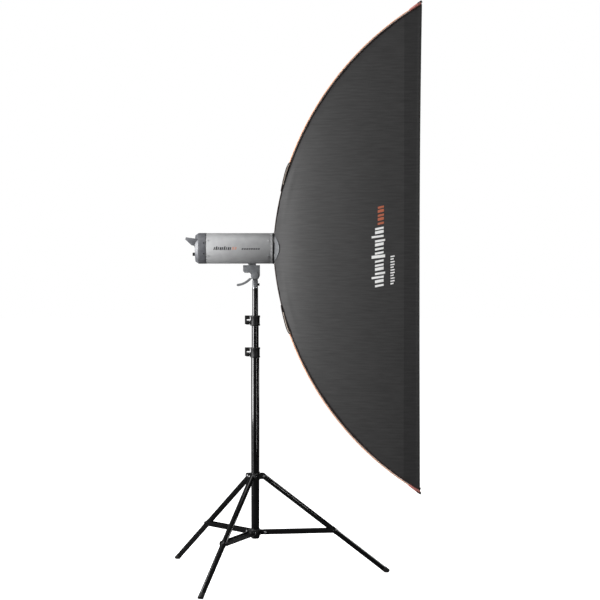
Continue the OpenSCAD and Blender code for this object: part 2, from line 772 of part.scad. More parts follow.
base_tube();
base_cap();
brace_hub();
brace_pins();
lower_clamp();
lower_clamp_knob();
leg_hub();
leg_pins();
hub_lock_knob();
leg_1();
leg_2();
leg_3();
foot_1();
foot_2();
foot_3();
brace_1();
brace_2();
brace_3();
mid_tube();
upper_clamp();
upper_clamp_knob();
top_tube();
spigot();
bracket_socket();
socket_thumbscrew();
bracket_head();
tilt_bolt();
tilt_lever();
umbrella_screw();
mounting_foot();
strobe_housing();
strobe_front_ring();
rear_cap();
rear_handle();
rear_panel();
power_switch();
flash_dial();
lamp_dial();
test_button();
mains_inlet();
sync_socket();
flash_tube();
modelling_lamp();
lamp_socket();
glass_dome();
capacitors();
circuit_board();
fan_rotor();
bayonet_insert();
speedring();
rib_rods();
side_panel_near();
side_panel_far();
top_panel();
bottom_panel();
access_flaps();
edge_piping();
front_lip();
front_diffuser();
inner_diffuser();
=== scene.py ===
import json
from math import asin, atan2, cos, exp, hypot, pi, radians, sin

import bmesh
import bpy
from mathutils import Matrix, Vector, noise

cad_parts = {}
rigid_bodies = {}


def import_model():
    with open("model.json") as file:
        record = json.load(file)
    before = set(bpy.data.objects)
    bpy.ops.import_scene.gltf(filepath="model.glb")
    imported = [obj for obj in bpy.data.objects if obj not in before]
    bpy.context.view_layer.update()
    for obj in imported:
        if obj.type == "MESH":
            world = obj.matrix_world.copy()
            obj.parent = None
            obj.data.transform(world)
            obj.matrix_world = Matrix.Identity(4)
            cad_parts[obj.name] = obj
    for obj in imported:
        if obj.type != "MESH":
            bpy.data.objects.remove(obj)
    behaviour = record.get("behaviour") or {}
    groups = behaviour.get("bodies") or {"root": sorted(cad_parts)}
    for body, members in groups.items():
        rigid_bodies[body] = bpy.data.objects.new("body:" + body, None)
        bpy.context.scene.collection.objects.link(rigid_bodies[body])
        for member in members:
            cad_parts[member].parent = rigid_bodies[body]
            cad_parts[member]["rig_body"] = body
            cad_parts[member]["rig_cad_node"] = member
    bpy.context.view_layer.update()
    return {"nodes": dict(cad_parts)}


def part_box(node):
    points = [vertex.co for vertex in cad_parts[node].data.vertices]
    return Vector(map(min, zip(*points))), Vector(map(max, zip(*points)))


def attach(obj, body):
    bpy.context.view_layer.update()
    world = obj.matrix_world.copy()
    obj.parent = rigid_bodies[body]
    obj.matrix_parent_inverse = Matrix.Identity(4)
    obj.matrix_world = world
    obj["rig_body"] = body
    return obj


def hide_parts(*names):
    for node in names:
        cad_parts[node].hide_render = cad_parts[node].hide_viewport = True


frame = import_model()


# The camera stands level with the flash head, eight metres off, with a long lens, so
# the tall softbox keeps straight sides.
def deselect():
    if bpy.context.mode != "OBJECT":
        bpy.ops.object.mode_set(mode="OBJECT")
    bpy.ops.object.select_all(action="DESELECT")


deselect()
camera_down = radians(1.53)
bpy.ops.object.camera_add(location=(0.191, -8.01, 1.394), rotation=(pi / 2 - camera_down, 0, 0))
camera = bpy.context.object
camera.name = "camera"
camera.data.sensor_width = 36
camera.data.lens = 112.8
camera.data.clip_end = 100
bpy.context.scene.camera = camera


# The studio is a plain pale floor in a white room, with the floor lit as a white sweep is.
# A soft light stands to the left with a low strip beneath it, a tall strip stands to the
# right, one light stands behind, and one hangs above.
def white_to_camera(tree, unseen, seen, target):
    mix = tree.nodes.new("ShaderNodeMixShader")
    path = tree.nodes.new("ShaderNodeLightPath")
    tree.links.new(path.outputs["Is Camera Ray"], mix.inputs["Fac"])
    tree.links.new(unseen.outputs[0], mix.inputs[1])
    tree.links.new(seen.outputs[0], mix.inputs[2])
    tree.links.new(mix.outputs[0], target.inputs["Surface"])


bpy.context.scene.view_settings.view_transform = "Standard"
bpy.ops.mesh.primitive_plane_add(size=60, location=(0, 0, -0.0015))
floor = bpy.context.object
floor.name = "floor"
floor_paint = bpy.data.materials.new("floor_paint")
floor_paint.use_nodes = True
floor_nodes = floor_paint.node_tree.nodes
floor_seen = floor_nodes["Principled BSDF"]
floor_seen.inputs["Base Color"].default_value = (0.8, 0.8, 0.8, 1)
floor_seen.inputs["Roughness"].default_value = 0.9
floor_seen.inputs["Specular IOR Level"].default_value = 0.1
floor_seen.inputs["Emission Color"].default_value = (1, 1, 1, 1)
floor_seen.inputs["Emission Strength"].default_value = 0.92
floor_bounce = floor_nodes.new("ShaderNodeBsdfDiffuse")
floor_bounce.inputs["Color"].default_value = (0.08, 0.08, 0.08, 1)
white_to_camera(floor_paint.node_tree, floor_bounce, floor_seen, floor_nodes["Material Output"])
floor.data.materials.append(floor_paint)

room = bpy.data.worlds.new("white_room")
bpy.context.scene.world = room
room.use_nodes = True
room_nodes = room.node_tree.nodes
room_nodes.clear()
room_out = room_nodes.new("ShaderNodeOutputWorld")
room_fill = room_nodes.new("ShaderNodeBackground")
room_seen = room_nodes.new("ShaderNodeBackground")
room_fill.inputs["Strength"].default_value = 0.13
room_seen.inputs["Strength"].default_value = 1.0
for light in (room_fill, room_seen):
    light.inputs["Color"].default_value = (1, 1, 1, 1)
white_to_camera(room.node_tree, room_fill, room_seen, room_out)


def studio_light(name, place, aim, size, watts):
    direction = (Vector(aim) - Vector(place)).to_track_quat("-Z", "Y").to_euler()
    bpy.ops.object.light_add(type="AREA", location=place, rotation=direction)
    lamp = bpy.context.object
    lamp.name = name
    lamp.data.shape = "RECTANGLE"
    lamp.data.size, lamp.data.size_y = size
    lamp.data.energy = watts
    lamp.visible_camera = False


studio_light("left_light", (-2.15, -0.78, 1.62), aim=(0.2, -0.1, 1.35), size=(1.1, 1.9), watts=138)
studio_light("low_strip", (-1.35, -0.52, 0.56), aim=(0, 0, 0.5), size=(0.26, 1.0), watts=6)
studio_light("right_strip", (2.9, -3.3, 1.0), aim=(0, 0, 0.9), size=(0.2, 3.0), watts=42)
studio_light("back_light", (3.4, 2.4, 2.0), aim=(0.4, 0, 1.3), size=(1.6, 2.4), watts=120)
studio_light("top_light", (-0.4, -0.9, 4.2), aim=(-0.1, 0, 1.3), size=(2.4, 1.6), watts=30)


# The column is three steel tubes that slide inside each other, 35, 30 and 25 mm across,
# sawn, deburred at the rims and sprayed gloss black.
def new_finish(name, roughness, metallic=0.0, specular=0.5):
    finish = bpy.data.materials.new(name)
    finish.use_nodes = True
    shader = finish.node_tree.nodes["Principled BSDF"]
    shader.inputs["Roughness"].default_value = roughness
    shader.inputs["Metallic"].default_value = metallic
    shader.inputs["Specular IOR Level"].default_value = specular
    return finish


def shader_of(finish):
    return finish.node_tree.nodes["Principled BSDF"]


def grain(finish, size, stretch=(1, 1, 1), kind="Noise", coords="Object"):
    nodes, links = finish.node_tree.nodes, finish.node_tree.links
    place = nodes.new("ShaderNodeTexCoord")
    fit = nodes.new("ShaderNodeMapping")
    fit.inputs["Scale"].default_value = stretch
    links.new(place.outputs[coords], fit.inputs["Vector"])
    pattern = nodes.new("ShaderNodeTex" + kind)
    links.new(fit.outputs["Vector"], pattern.inputs["Vector"])
    pattern.inputs["Scale"].default_value = 1 / size
    return pattern.outputs[0]


def tint(finish, pattern, dark, light, low=0.35, high=0.65):
    nodes, links = finish.node_tree.nodes, finish.node_tree.links
    ramp = nodes.new("ShaderNodeValToRGB")
    ramp.color_ramp.elements[0].position = low
    ramp.color_ramp.elements[1].position = high
    ramp.color_ramp.elements[0].color = (*dark, 1)
    ramp.color_ramp.elements[1].color = (*light, 1)
    links.new(pattern, ramp.inputs["Fac"])
    links.new(ramp.outputs["Color"], shader_of(finish).inputs["Base Color"])


def rub(finish, pattern, low, high):
    nodes, links = finish.node_tree.nodes, finish.node_tree.links
    spread = nodes.new("ShaderNodeMapRange")
    spread.inputs["To Min"].default_value = low
    spread.inputs["To Max"].default_value = high
    links.new(pattern, spread.inputs["Value"])
    links.new(spread.outputs["Result"], shader_of(finish).inputs["Roughness"])


def relief(finish, pattern, depth):
    nodes, links = finish.node_tree.nodes, finish.node_tree.links
    normal = shader_of(finish).inputs["Normal"]
    bump = nodes.new("ShaderNodeBump")
    bump.inputs["Distance"].default_value = depth
    links.new(pattern, bump.inputs["Height"])
    if normal.links:
        links.new(normal.links[0].from_socket, bump.inputs["Normal"])
    links.new(bump.outputs["Normal"], normal)


def pick(piece):
    deselect()
    piece.select_set(True)
    bpy.context.view_layer.objects.active = piece


def start_edit(piece, kind="VERT"):
    pick(piece)
    bpy.ops.object.mode_set(mode="EDIT")
    bpy.ops.mesh.select_mode(type=kind)
    bpy.ops.mesh.select_all(action="DESELECT")


def end_edit():
    bpy.ops.object.mode_set(mode="OBJECT")


def use_modifier(piece, kind, **settings):
    pick(piece)
    modifier = piece.modifiers.new(kind.lower(), kind)
    for key, value in settings.items():
        setattr(modifier, key, value)
    bpy.ops.object.modifier_apply(modifier=modifier.name)


def set_down(piece):
    pick(piece)
    bpy.ops.object.transform_apply(location=True, rotation=True, scale=True)


def fit_on(piece, name, body, slot, material, *nodes, angle=35):
    set_down(piece)
    piece.name = name
    piece.data.name = name
    piece.data.materials.clear()
    piece.data.materials.append(material)
    bpy.ops.object.shade_smooth_by_angle(angle=radians(angle))
    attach(piece, body)
    if nodes:
        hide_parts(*nodes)
    return piece


def rounded(node, body, slot, material, width, segments=2, angle=35):
    cad = frame["nodes"][node]
    pick(cad)
    bpy.ops.object.duplicate()
    piece = bpy.context.object
    piece.parent = None
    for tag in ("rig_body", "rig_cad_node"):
        if tag in piece:
            del piece[tag]
    start_edit(piece)
    bpy.ops.mesh.select_all(action="SELECT")
    bpy.ops.mesh.remove_doubles(threshold=0.00001)
    bpy.ops.mesh.dissolve_limited(angle_limit=radians(1))
    end_edit()
    use_modifier(piece, "BEVEL", width=width, segments=segments, limit_method="ANGLE",
                 angle_limit=radians(angle), harden_normals=False)
    return fit_on(piece, node + "_finished", body, slot, material, node, angle=angle)


gloss_black = new_finish("gloss_black_paint", roughness=0.1)
tint(gloss_black, grain(gloss_black, 0.05), (0.002, 0.002, 0.0022), (0.004, 0.004, 0.0043))
rub(gloss_black, grain(gloss_black, 0.03), 0.1, 0.14)
relief(gloss_black, grain(gloss_black, 0.03), 0.000004)

rounded("base_tube", "stand_base", "gloss_black", gloss_black, width=0.0004)
rounded("mid_tube", "mid_column", "gloss_black", gloss_black, width=0.0004)
rounded("top_tube", "top_column", "gloss_black", gloss_black, width=0.0004)


# Moulded stand fittings: the split clamp collars, the leg hub, the brace hub and the end
# cap are injection-moulded nylon, filled with glass and spark-textured to a dull black.
moulded_black = new_finish("moulded_black_nylon", roughness=0.5, specular=0.22)
tint(moulded_black, grain(moulded_black, 0.02), (0.004, 0.004, 0.0043), (0.008, 0.008, 0.0084))
rub(moulded_black, grain(moulded_black, 0.004), 0.38, 0.58)
relief(moulded_black, grain(moulded_black, 0.0009), 0.00004)

rounded("base_cap", "stand_base", "black_plastic", moulded_black, width=0.0008)
rounded("brace_hub", "stand_base", "black_plastic", moulded_black, width=0.0009)
rounded("lower_clamp", "stand_base", "black_plastic", moulded_black, width=0.0009)
rounded("upper_clamp", "mid_column", "black_plastic", moulded_black, width=0.0009)
rounded("leg_hub", "leg_hub", "black_plastic", moulded_black, width=0.0009)


# Clamp and lock knobs: cranked wings in smoother black nylon, moulded round a steel screw
# that pulls the split collar tight.
knob_black = new_finish("knob_black_nylon", roughness=0.34, specular=0.3)
tint(knob_black, grain(knob_black, 0.015), (0.008, 0.008, 0.008), (0.014, 0.014, 0.014))
relief(knob_black, grain(knob_black, 0.0012), 0.00003)

rounded("lower_clamp_knob", "lower_clamp_knob", "black_knob", knob_black, width=0.0014, segments=3)
rounded("upper_clamp_knob", "upper_clamp_knob", "black_knob", knob_black, width=0.0014, segments=3)
rounded("hub_lock_knob", "hub_lock_knob", "black_knob", knob_black, width=0.0014, segments=3)


# Rivets and pins: zinc-plated steel, headed over at both ends so that the legs and the
# braces turn on them.
steel_pin = new_finish("plated_steel", roughness=0.32, metallic=1.0)
tint(steel_pin, grain(steel_pin, 0.006), (0.36, 0.36, 0.37), (0.5, 0.5, 0.51))
rub(steel_pin, grain(steel_pin, 0.002), 0.24, 0.42)

rounded("brace_pins", "stand_base", "steel_pin", steel_pin, width=0.0007)
rounded("leg_pins", "leg_hub", "steel_pin", steel_pin, width=0.0007)
rounded("tilt_bolt", "flash_head", "steel_pin", steel_pin, width=0.0009)


# Three legs of black-painted steel tube, each with a crimped sleeve at the brace rivet,
# a rubber foot pushed over its end and a pair of flat brace bars.
foot_rubber = new_finish("foot_rubber", roughness=0.72, specular=0.35)
tint(foot_rubber, grain(foot_rubber, 0.01), (0.009, 0.009, 0.009), (0.02, 0.019, 0.018))
relief(foot_rubber, grain(foot_rubber, 0.0014), 0.00008)

for number in "123":
    rounded("leg_" + number, "leg_" + number, "gloss_black", gloss_black, width=0.0004)
    rounded("brace_" + number, "brace_" + number, "gloss_black", gloss_black, width=0.0004)
    rounded("foot_" + number, "leg_" + number, "rubber_foot", foot_rubber, width=0.0022, segments=3)


# The spigot on top of the column is turned brass, chrome-plated and polished, so that the
# bracket's socket slides over it.
spigot_chrome = new_finish("spigot_chrome", roughness=0.08, metallic=1.0)
tint(spigot_chrome, grain(spigot_chrome, 0.01), (0.62, 0.62, 0.63), (0.74, 0.74, 0.75))
rub(spigot_chrome, grain(spigot_chrome, 0.0015, (1, 1, 12)), 0.05, 0.14)
rounded("spigot", "top_column", "chrome_spigot", spigot_chrome, width=0.0005)


# Tilt bracket: a die-cast zinc socket and head, powder-coated mid grey, with a cast
# tension lever on the pivot bolt and two plastic-headed screws.
grey_casting = new_finish("grey_powder_coat", roughness=0.42, metallic=0.25)
tint(grey_casting, grain(grey_casting, 0.012), (0.15, 0.155, 0.163), (0.19, 0.196, 0.205))
rub(grey_casting, grain(grey_casting, 0.003), 0.34, 0.5)
relief(grey_casting, grain(grey_casting, 0.0008), 0.00005)

rounded("bracket_socket", "bracket_socket", "grey_casting", grey_casting, width=0.0012, segments=3)
rounded("bracket_head", "flash_head", "grey_casting", grey_casting, width=0.0016, segments=3)
rounded("tilt_lever", "tilt_lever", "grey_casting", grey_casting, width=0.0016, segments=3)
rounded("socket_thumbscrew", "socket_thumbscrew", "black_knob", knob_black, width=0.0008)
rounded("umbrella_screw", "umbrella_screw", "black_knob", knob_black, width=0.0008)

dark_casting = new_finish("dark_casting", roughness=0.4, metallic=0.6)
tint(dark_casting, grain(dark_casting, 0.01), (0.12, 0.122, 0.126), (0.17, 0.172, 0.176))
relief(dark_casting, grain(dark_casting, 0.001), 0.00005)
rounded("mounting_foot", "flash_head", "dark_casting", dark_casting, width=0.001)


# Flash head housing: an extruded aluminium tube in satin silver paint, closed by a ring
# in front. Four button-head screws at each end hold the ring and the rear cap.
silver_tube = new_finish("satin_silver", roughness=0.5, metallic=0.2, specular=0.35)
tint(silver_tube, grain(silver_tube, 0.03), (0.335, 0.337, 0.342), (0.37, 0.372, 0.377))
rub(silver_tube, grain(silver_tube, 0.002, (0.08, 1, 1)), 0.46, 0.58)
relief(silver_tube, grain(silver_tube, 0.0007, (0.05, 1, 1)), 0.00001)
rounded("strobe_housing", "flash_head", "silver_tube", silver_tube, width=0.0005)

housing_low, housing_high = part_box("strobe_housing")
axis_z = (housing_low[2] + housing_high[2]) / 2
head_radius = (housing_high[2] - housing_low[2]) / 2
rounded("strobe_front_ring", "flash_head", "silver_tube", silver_tube, width=0.0012, segments=3)


def choose(piece, kind, test):
    cage = bmesh.from_edit_mesh(piece.data)
    for part in getattr(cage, kind):
        part.select_set(bool(test(part)))
    cage.select_flush_mode()
    bmesh.update_edit_mesh(piece.data)


def join(pieces):
    deselect()
    for piece in pieces:
        piece.select_set(True)
    bpy.context.view_layer.objects.active = pieces[0]
    bpy.ops.object.join()
    return bpy.context.object


def button_screw(place, outward, radius=0.003):
    turn = Vector(outward).to_track_quat("Z", "Y").to_euler()
    deselect()
    bpy.ops.mesh.primitive_cylinder_add(vertices=16, radius=radius, depth=radius * 0.8,
                                        location=place, rotation=turn)
    head = bpy.context.object
    start_edit(head, "FACE")
    choose(head, "faces", lambda face: face.normal.z > 0.9)
    bpy.ops.mesh.inset(thickness=radius * 0.18, depth=radius * 0.16)
    bpy.ops.mesh.inset(thickness=radius * 0.3, depth=0)
    bpy.ops.mesh.inset(thickness=radius * 0.04, depth=-radius * 0.4)
    end_edit()
    return head


def ring_of_screws(x, radius, turns, **size):
    heads = []
    for turn in turns:
        side = Vector((0, cos(radians(turn)), sin(radians(turn))))
        place = Vector((x, 0, axis_z)) + side * radius
        heads.append(button_screw(place, side, **size))
    return heads


seat = head_radius - 0.0002
screw_inset = 0.009
screw_turns = (-150, -30, 30, 150)
housing_screws = join(ring_of_screws(housing_low[0] + screw_inset, seat, screw_turns)
                      + ring_of_screws(housing_high[0] - screw_inset, seat, screw_turns))
fit_on(housing_screws, "housing_screws", "flash_head", "steel_pin", steel_pin)


# A dark trim line runs round the housing where the tube meets the rear cap: a thin rubber
# gasket that stands a hair proud of the paint.
def round_gasket(x, radius, width):
    deselect()
    bpy.ops.mesh.primitive_torus_add(major_radius=radius, minor_radius=width / 2,
                                     major_segments=96, minor_segments=8,
                                     location=(x, 0, axis_z), rotation=(0, pi / 2, 0))
    return bpy.context.object


gasket = round_gasket(housing_low[0], radius=head_radius - 0.0004, width=0.0022)
fit_on(gasket, "housing_gasket", "flash_head", "rubber_foot", foot_rubber)


# Printed marks on the housing are plain slanted bars in dark grey and orange ink, laid on
# the round wall by a pad printer.
def ink(name, dark, light):
    finish = new_finish(name, roughness=0.55)
    tint(finish, grain(finish, 0.004), dark, light)
    relief(finish, grain(finish, 0.0006), 0.00002)
    return finish


def bar(place, start, length, low, high, slant=0.0, steps=6):
    deselect()
    bpy.ops.mesh.primitive_grid_add(x_subdivisions=steps, y_subdivisions=steps, size=1)
    mark = bpy.context.object
    for vertex in mark.data.vertices:
        across = vertex.co.y + 0.5
        along = start + (vertex.co.x + 0.5) * length + slant * across
        vertex.co = place(along, low + across * (high - low))
    return mark


def on_housing(along, up):
    turn = up / head_radius
    lift = head_radius + 0.00015
    return Vector((along, -lift * cos(turn), axis_z + lift * sin(turn)))


grey_ink = ink("dark_grey_ink", (0.02, 0.02, 0.022), (0.035, 0.035, 0.038))
pale_ink = ink("pale_orange_ink", (0.42, 0.22, 0.17), (0.48, 0.26, 0.2))
wide_bars = [bar(on_housing, start=-0.175 + 0.0085 * i, length=0.0045 + 0.0015 * (i % 2),
                 low=-0.007, high=0.005 + 0.003 * (i % 4 == 1), slant=0.003)
             for i in range(9)]
small_bars = [bar(on_housing, start=-0.056 + 0.0098 * i, length=0.0075,
                  low=-0.0055, high=0.0005, slant=0.0015)
              for i in range(8)]
grey_marks = join(wide_bars + small_bars)
fit_on(grey_marks, "housing_marks_grey", "flash_head", "black_ring", grey_ink)
orange_marks = join([bar(on_housing, start=-0.097 + 0.011 * i, length=0.007,
                         low=-0.006, high=0.006, slant=0.003)
                     for i in range(2)])
fit_on(orange_marks, "housing_marks_orange", "flash_head", "red_button", pale_ink)


# Rear cap and bail handle: glass-filled ABS, moulded dark grey with a fine spark texture.
# The cap pushes into the housing and four screws hold it.
grey_plastic = new_finish("dark_grey_abs", roughness=0.46)
tint(grey_plastic, grain(grey_plastic, 0.02), (0.1, 0.102, 0.112), (0.13, 0.133, 0.144))
rub(grey_plastic, grain(grey_plastic, 0.004), 0.38, 0.54)
relief(grey_plastic, grain(grey_plastic, 0.0009), 0.00005)
rounded("rear_cap", "flash_head", "grey_plastic", grey_plastic, width=0.0014, segments=3, angle=28)
rounded("rear_handle", "flash_head", "grey_plastic", grey_plastic, width=0.0018, segments=3)

black_ring = new_finish("black_ring_paint", roughness=0.3)
tint(black_ring, grain(black_ring, 0.02), (0.008, 0.008, 0.009), (0.015, 0.015, 0.016))
relief(black_ring, grain(black_ring, 0.001), 0.00003)
cap_low, cap_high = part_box("rear_cap")
cap_seat = (cap_high[2] - cap_low[2]) / 2 - 0.0003
cap_screws = join(ring_of_screws(housing_low[0] - screw_inset, cap_seat, (-160, -20, 20, 160)))
fit_on(cap_screws, "cap_screws", "flash_head", "black_ring", black_ring)


# Rear panel: a black moulded plate with the power rocker, two dials, the red test button,
# the mains inlet and the sync socket. Tick marks are printed round the dials.
panel_plastic = new_finish("panel_plastic", roughness=0.5)
tint(panel_plastic, grain(panel_plastic, 0.02), (0.018, 0.018, 0.02), (0.028, 0.028, 0.031))
relief(panel_plastic, grain(panel_plastic, 0.001), 0.00004)
rounded("rear_panel", "flash_head", "panel_plastic", panel_plastic, width=0.0005)
rounded("mains_inlet", "flash_head", "panel_plastic", panel_plastic, width=0.0004)
rounded("power_switch", "power_switch", "black_knob", knob_black, width=0.0006)
rounded("flash_dial", "flash_dial", "black_knob", knob_black, width=0.0007)
rounded("lamp_dial", "lamp_dial", "black_knob", knob_black, width=0.0007)

red_button = new_finish("red_button_plastic", roughness=0.22)
tint(red_button, grain(red_button, 0.004), (0.34, 0.03, 0.02), (0.46, 0.05, 0.03))
rounded("test_button", "test_button", "red_button", red_button, width=0.0006)
bright_socket = new_finish("nickel_socket", roughness=0.2, metallic=1.0)
tint(bright_socket, grain(bright_socket, 0.003), (0.5, 0.49, 0.46), (0.62, 0.61, 0.58))
rounded("sync_socket", "flash_head", "bright_socket", bright_socket, width=0.0003)

panel_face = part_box("rear_panel")[0][0]


def on_panel(centre_y, centre_z):
    def place(around, out):
        return Vector((panel_face - 0.00012, centre_y + out * sin(around),
                       axis_z + centre_z + out * cos(around)))
    return place


white_ink = ink("white_ink", (0.68, 0.68, 0.67), (0.8, 0.8, 0.79))
tick_step = 0.47
tick_width = 0.09
ticks = []
for dial in ("flash_dial", "lamp_dial"):
    dial_low, dial_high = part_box(dial)
    middle = on_panel((dial_low[1] + dial_high[1]) / 2, (dial_low[2] + dial_high[2]) / 2 - axis_z)
    for step in range(-5, 6):
        tick_end = 0.0114 if step % 5 == 0 else 0.0106
        ticks.append(bar(middle, start=tick_step * step - tick_width / 2, length=tick_width,
                         low=0.0092, high=tick_end, steps=2))
panel_ticks = join(ticks)
fit_on(panel_ticks, "panel_ticks", "flash_head", "panel_plastic", white_ink)

screw_places = ((-0.03, 0.028), (0.03, 0.028), (-0.0395, -0.016), (0.0395, -0.016))
panel_screws = join([button_screw((panel_face + 0.0003, y, axis_z + z), (-1, 0, 0), radius=0.0022)
                     for y, z in screw_places])
fit_on(panel_screws, "panel_screws", "flash_head", "steel_pin", steel_pin)


# Inside the head: the flash tube, the modelling lamp in its ceramic holder, the frosted
# glass dome, the capacitors and board that feed them, and the cooling fan behind.
def dress(finish, *nodes):
    for node in nodes:
        cad = frame["nodes"][node]
        cad.data.materials.clear()
        cad.data.materials.append(finish)


flash_glass = new_finish("flash_tube_glass", roughness=0.05)
tint(flash_glass, grain(flash_glass, 0.01), (0.86, 0.88, 0.9), (0.93, 0.95, 0.97))
shader_of(flash_glass).inputs["Transmission Weight"].default_value = 0.6
lamp_glass = new_finish("lamp_glass", roughness=0.12)
tint(lamp_glass, grain(lamp_glass, 0.01), (0.85, 0.8, 0.68), (0.93, 0.89, 0.79))
shader_of(lamp_glass).inputs["Transmission Weight"].default_value = 0.4
ceramic = new_finish("glazed_ceramic", roughness=0.25)
tint(ceramic, grain(ceramic, 0.005), (0.68, 0.65, 0.57), (0.78, 0.76, 0.69))
dome_glass = new_finish("frosted_dome", roughness=0.35)
tint(dome_glass, grain(dome_glass, 0.02), (0.8, 0.83, 0.85), (0.88, 0.91, 0.92))
shader_of(dome_glass).inputs["Transmission Weight"].default_value = 0.7
capacitor_sleeve = new_finish("capacitor_sleeve", roughness=0.3)
tint(capacitor_sleeve, grain(capacitor_sleeve, 0.01), (0.02, 0.06, 0.2), (0.03, 0.09, 0.27))
board_green = new_finish("board_green", roughness=0.35)
tint(board_green, grain(board_green, 0.002), (0.01, 0.11, 0.04), (0.02, 0.17, 0.06))
dress(flash_glass, "flash_tube")
dress(lamp_glass, "modelling_lamp")
dress(ceramic, "lamp_socket")
dress(dome_glass, "glass_dome")
dress(capacitor_sleeve, "capacitors")
dress(board_green, "circuit_board")
dress(panel_plastic, "fan_rotor")


# Speedring and bayonet: a black steel insert locks on the head, and the cast aluminium
# speedring turns on it. Its four corner sockets take the feet of the rods.
rounded("bayonet_insert", "flash_head", "black_ring", black_ring, width=0.0008)
rounded("speedring", "softbox", "black_ring", black_ring, width=0.001)


# Four fibreglass rods, 8 mm thick, stand in the speedring and bow out to the front corners,
# where a black plastic cap on each tip sits in a sewn pocket.
rear_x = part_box("top_panel")[0][0]
lip_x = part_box("top_panel")[1][0]
front_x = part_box("front_lip")[1][0]
lip_low, lip_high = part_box("front_lip")
front_half_h = (lip_high[2] - lip_low[2]) / 2
front_half_w = (lip_high[1] - lip_low[1]) / 2
rear_half_h = 0.065
rear_half_w = 0.075
rib_bow = 0.134
rib_dx = front_x - rear_x
rib_dh = front_half_h - rear_half_h
rib_chord = hypot(rib_dx, rib_dh)
rib_radius = (rib_chord ** 2 / 4 + rib_bow ** 2) / (2 * rib_bow)
rib_cx = (rear_x + front_x) / 2 + (rib_radius - rib_bow) * rib_dh / rib_chord
rib_ch = (rear_half_h + front_half_h) / 2 - (rib_radius - rib_bow) * rib_dx / rib_chord
rib_start = atan2(rear_half_h - rib_ch, rear_x - rib_cx)
rib_end = atan2(front_half_h - rib_ch, front_x - rib_cx)
rib_flare = (front_half_w - rear_half_w) / rib_dh
edge_spread = 0.7


def rib_height(x):
    return rib_ch + (rib_radius ** 2 - (x - rib_cx) ** 2) ** 0.5


def rib_width(height):
    return rear_half_w + (height - rear_half_h) * rib_flare


def turn_at_height(height):
    return pi - asin((height - rib_ch) / rib_radius)


def edge_point(turn, out=0.0, side=-1, up=1):
    radius = rib_radius + out
    height = rib_ch + radius * sin(turn)
    width = rib_width(rib_ch + rib_radius * sin(turn)) + out * edge_spread
    return Vector((rib_cx + radius * cos(turn), side * width, axis_z + up * height))


def steps_between(first, last, count):
    return [first + (last - first) * i / count for i in range(count + 1)]


def one_point(place):
    deselect()
    bpy.ops.mesh.primitive_plane_add(size=0.01, location=place)
    piece = bpy.context.object
    start_edit(piece)
    bpy.ops.mesh.select_all(action="SELECT")
    bpy.ops.mesh.merge(type="CENTER")
    end_edit()
    set_down(piece)
    return piece


def bead(points, radius, roundness=2):
    piece = one_point(points[0])
    start_edit(piece)
    bpy.ops.mesh.select_all(action="SELECT")
    for here, ahead in zip(points, points[1:]):
        bpy.ops.mesh.extrude_region_move(TRANSFORM_OT_translate={"value": ahead - here})
    end_edit()
    bpy.ops.object.convert(target="CURVE")
    piece = bpy.context.object
    piece.data.bevel_depth = radius
    piece.data.bevel_resolution = roundness
    piece.data.use_fill_caps = True
    bpy.ops.object.convert(target="MESH")
    return bpy.context.object


rod_fibre = new_finish("rod_fibreglass", roughness=0.3)
tint(rod_fibre, grain(rod_fibre, 0.003, (0.1, 0.1, 0.02)), (0.33, 0.33, 0.34), (0.46, 0.46, 0.47))
dress(rod_fibre, "rib_rods")

corners = [(side, up) for side in (-1, 1) for up in (-1, 1)]
tips = []
for side, up in corners:
    tip_from = edge_point(rib_end + 0.012, 0.0062, side, up)
    tip_to = edge_point(rib_end - 0.004, 0.0072, side, up)
    tips.append(bead([tip_from, tip_to], radius=0.0053, roundness=3))
rod_tips = join(tips)
use_modifier(rod_tips, "BEVEL", width=0.0012, segments=2, limit_method="ANGLE")
fit_on(rod_tips, "rod_tips", "softbox", "black_knob", knob_black)


# Side panels: two walls of ribbed black polyester with a silver lining, cut to the bow of
# the rods and stretched tight, so that every line up the cloth is straight.
def cloth_sheet(columns, rows, place):
    deselect()
    bpy.ops.mesh.primitive_grid_add(x_subdivisions=columns, y_subdivisions=rows, size=2)
    sheet = bpy.context.object
    weave = sheet.data.uv_layers[0]
    weave.name = "cloth"
    spots = [place((v.co.x + 1) / 2, (v.co.y + 1) / 2) for v in sheet.data.vertices]
    for loop in sheet.data.loops:
        weave.data[loop.index].uv = spots[loop.vertex_index][1]
    for vertex, spot in zip(sheet.data.vertices, spots):
        vertex.co = spot[0]
    return sheet


def face_away(sheet, middle, inward=False):
    turned = sum(face.normal.dot(face.center - middle) * face.area for face in sheet.data.polygons)
    if (turned < 0) != inward:
        start_edit(sheet)
        bpy.ops.mesh.select_all(action="SELECT")
        bpy.ops.mesh.flip_normals()
        end_edit()


def hang(sheet, name, slot, finish, lining, thickness, *nodes):
    sheet.data.materials.clear()
    for layer in (finish, lining):
        sheet.data.materials.append(layer)
    use_modifier(sheet, "SOLIDIFY", thickness=thickness, offset=-1, material_offset=1,
                 material_offset_rim=0)
    bpy.ops.object.shade_smooth_by_angle(angle=radians(50))
    sheet.name = name
    sheet.data.name = name
    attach(sheet, "softbox")
    if nodes:
        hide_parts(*nodes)
    return sheet


def add_patterns(finish, first, second, share):
    mix = finish.node_tree.nodes.new("ShaderNodeMath")
    mix.operation = "MULTIPLY_ADD"
    mix.inputs[1].default_value = share
    finish.node_tree.links.new(second, mix.inputs[0])
    finish.node_tree.links.new(first, mix.inputs[2])
    return mix.outputs[0]


